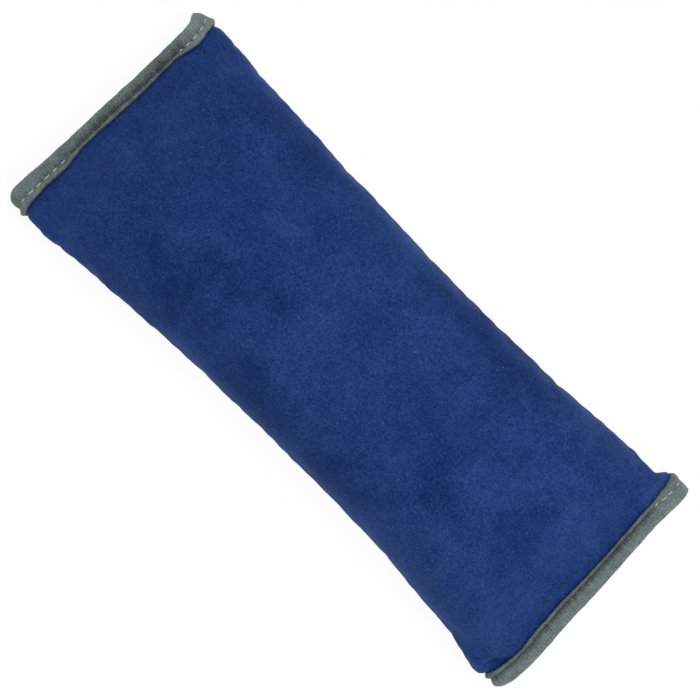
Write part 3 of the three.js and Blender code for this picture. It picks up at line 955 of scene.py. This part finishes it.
def tape_finish(name):
    """Grey ribbed tape, palest at its fold and darker at its lip, partly its own colour and partly
    painted shade, with painted shade in the groove and between ribs and painted light on the corners
    and towards +x.
    """
    material, add, join = new_finish(name)
    where = add("TexCoord").outputs["Object"]
    across = add("Attribute", attribute_name="across").outputs["Fac"]
    rib = add("Attribute", attribute_name="rib").outputs["Fac"]
    uneven = noise_of(add, join, where, Scale=260, Detail=4, Roughness=0.65)
    threads = noise_of(add, join, where, Scale=1500, Detail=3, Roughness=0.7)
    from_fold = add("Math", operation="MULTIPLY", input_1=0.5)
    join(across, from_fold.inputs[0])
    # Tape colour from fold to lip, partly its own and partly painted shade: darker around the groove
    # and at the lip's edge.
    base = ramp_of(add, join, from_fold.outputs[0],
                   [(0.0, (0.118, 0.149, 0.150)), (0.40, (0.102, 0.130, 0.130)),
                    (0.54, (0.094, 0.121, 0.119)), (0.72, (0.102, 0.130, 0.127)),
                    (1.0, (0.078, 0.103, 0.100))])
    # Painted shade and painted light made in make_tape.
    dark = add("Attribute", attribute_name="dark").outputs["Fac"]
    # Painted light: the tape grows lighter towards +x, the side of the lamp.
    painted_side_light = add("SeparateXYZ")
    join(where, painted_side_light.inputs[0])
    # The rib valleys are darkened as painted shade.
    tone = blend_of(add, join, [(uneven, 0.5, 0.9), (threads, 0.5, 1.9), (rib, 0.2, -0.5),
                                (dark, 0.0, -0.5), (painted_side_light.outputs["X"], 0.0, 0.05)])
    shade = ramp_of(add, join, tone, [(0.0, (0.30, 0.30, 0.28)), (0.5, (1.0, 1.0, 1.0)),
                                      (1.0, (1.7, 1.7, 1.7))])
    dyed = add("MixRGB", blend_type="MULTIPLY", Fac=1.0)
    join(base, dyed.inputs["Color1"])
    join(shade, dyed.inputs["Color2"])
    cloth_surface(add, join, dyed.outputs["Color"], threads, 0.5, 0.00025, Roughness=0.8,
                  Specular_IOR_Level=0.2, Sheen_Weight=0.12)
    return material


grey_tape = tape_finish("grey_tape")
tapes = {}
for end, name, node in ((-1, "left_tape", "left_end_binding"), (1, "right_tape", "right_end_binding")):
    tape = make_tape(name, end)
    tape.data.materials.append(grey_tape)
    tapes[end] = tape
    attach(tape, "root")
    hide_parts(node)

# Stitches: pale thread that shows as short dashes where the groove lies open near the corners.
# The ones in view are listed as (place across the pad, length), the ones below are evenly spaced.
shown_stitches = {
    -1: [(49.8, 2.6), (47.0, 2.4), (43.4, 2.8), (39.5, 2.4), (35.8, 1.4), (-28.8, 2.4), (-33.2, 2.6),
         (-37.6, 2.9), (-42.0, 2.7), (-46.2, 2.9), (-50.0, 2.2), (-52.6, 1.6)],
    1: [(52.3, 2.4), (48.9, 2.6), (45.6, 2.7), (42.2, 2.0)],
}
dash_length = 2.3
dash_width = 0.4
dash_height = 0.45
thread_seat = 0.1
seat_reach = 5


def thread_finish(name, colour):
    """Twisted sewing thread."""
    material, add, join = new_finish(name)
    where = add("TexCoord").outputs["Object"]
    twist = add("TexWave", wave_type="BANDS", bands_direction="DIAGONAL", Scale=700, Distortion=1.5)
    join(where, twist.inputs["Vector"])
    dark = tuple(0.7 * c for c in colour)
    dye = ramp_of(add, join, twist.outputs["Fac"], [(0.2, dark), (0.8, colour)])
    cloth_surface(add, join, dye, twist.outputs["Fac"], 0.3, 0.0001, Roughness=0.6,
                  Specular_IOR_Level=0.3)
    return material


def model_dash(name, length, width, height):
    """One stitch: a short rounded length of thread whose ends go down into the cloth."""
    bpy.ops.mesh.primitive_uv_sphere_add(segments=10, ring_count=8, radius=0.5,
                                         rotation=(0, math.pi / 2, 0))
    dash = bpy.context.object
    dash.name = name
    bpy.ops.object.transform_apply(location=True, rotation=True, scale=True)
    bpy.ops.object.mode_set(mode="EDIT")
    bpy.ops.mesh.select_all(action="SELECT")
    bpy.ops.transform.resize(value=(length / 1000, width / 1000, height / 1000))
    bpy.ops.mesh.normals_make_consistent(inside=False)
    bpy.ops.object.mode_set(mode="OBJECT")
    bpy.ops.object.shade_smooth()
    dash.select_set(False)
    return dash


def sew(name, dash, places, finish):
    """Copies of one dash at each (point, direction, outward, length share), joined into one piece."""
    copies = []
    for point, direction, outward, share in places:
        forward = Vector(direction).normalized()
        up = Vector(outward).normalized()
        aside = up.cross(forward).normalized()
        up = forward.cross(aside)
        turn = Matrix((forward, aside, up)).transposed().to_4x4()
        copy = dash.copy()
        copy.data = dash.data.copy()
        shift = Matrix.Translation(Vector(point) / 1000)
        copy.data.transform(shift @ turn @ Matrix.Diagonal((share, 1, 1, 1)))
        bpy.context.collection.objects.link(copy)
        copies.append(copy)
    bpy.ops.object.select_all(action="DESELECT")
    for copy in copies:
        copy.select_set(True)
    bpy.context.view_layer.objects.active = copies[0]
    bpy.ops.object.join()
    line = bpy.context.object
    line.name = name
    line.data.materials.append(finish)
    line.select_set(False)
    return line


pale_thread = thread_finish("pale_thread", (0.62, 0.65, 0.62))
blue_thread = thread_finish("blue_thread", (0.045, 0.085, 0.230))
dash = model_dash("dash", dash_length, dash_width, dash_height)
tape_stitches = {}
for end, name in ((-1, "left_tape_stitches"), (1, "right_tape_stitches")):
    at, y, z, out_y, out_z = tape_path(end)
    groove_row = [share for share, _ in outer_profile].index(1.0)
    seat = points_of(tapes[end].data)[groove_row * len(at):(groove_row + 1) * len(at)][::-end]
    face = np.nonzero(z > side_height)[0]
    shown = [(face[np.argmin(np.abs(y[face] - place))], length)
             for place, length in shown_stitches[end]]
    below = np.nonzero((z < side_height) & (np.abs(out_z) > 0.9))[0]
    shown += [(i, dash_length) for i in below[:: round(stitch_pitch / tape_step)][1:-1]]
    places = []
    for i, length in shown:
        before, after = max(i - seat_reach, 0), min(i + seat_reach, len(at) - 1)
        outward = np.array([0, out_y[i], out_z[i]])
        point = (seat[before] + seat[i] + seat[after]) / 3 + thread_seat * outward
        places.append((point, seat[after] - seat[before], outward, length / dash_length))
    tape_stitches[end] = sew(name, dash, places, pale_thread)
    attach(tape_stitches[end], "root")
bpy.data.objects.remove(dash)

seam_dash = model_dash("seam_dash", 2.4, 0.36, 0.3)
loop_low, loop_high = box_mm("loop_strip")
run_margin = 3
half_run = (hook_high.x - hook_low.x) / 2 - run_margin
hook_plain = (hook_low.z + hook_high.z) / 2 + 0.05
loop_plain = (loop_low.z + loop_high.z) / 2 - 0.05
upper_face = overlap_cloth + cloth / 2 - 0.1
# Each line's piece, its height, the way it faces, its finish and the flat size of its piece
sewn_lines = {
    "hook_flap_stitches": (hook_flap, 0.2, -1, "suede_cover", (0.069, 0.275)),
    "loop_flap_stitches": (loop_flap, upper_face, 1, "suede_cover", (0.069, 0.275)),
    "hook_strip_stitches": (strips["hook_strip"], hook_plain, 1, "fastener_strip", (0.020, 0.228)),
    "loop_strip_stitches": (strips["loop_strip"], loop_plain, -1, "fastener_strip", (0.020, 0.228)),
}
for name, (piece, z, facing, slot_name, flat) in sewn_lines.items():
    places = []
    for side in (-1, 1):
        for x in np.arange(-half_run, half_run, sewn_pitch):
            point = (x + (hook_low.x + hook_high.x) / 2, middle_y + side * sewn_line, z)
            places.append((point, (1, 0, 0), (0, 0, facing), 1.0))
    stitches = sew(name, seam_dash, places, blue_thread)
    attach(stitches, "root")
bpy.data.objects.remove(seam_dash)
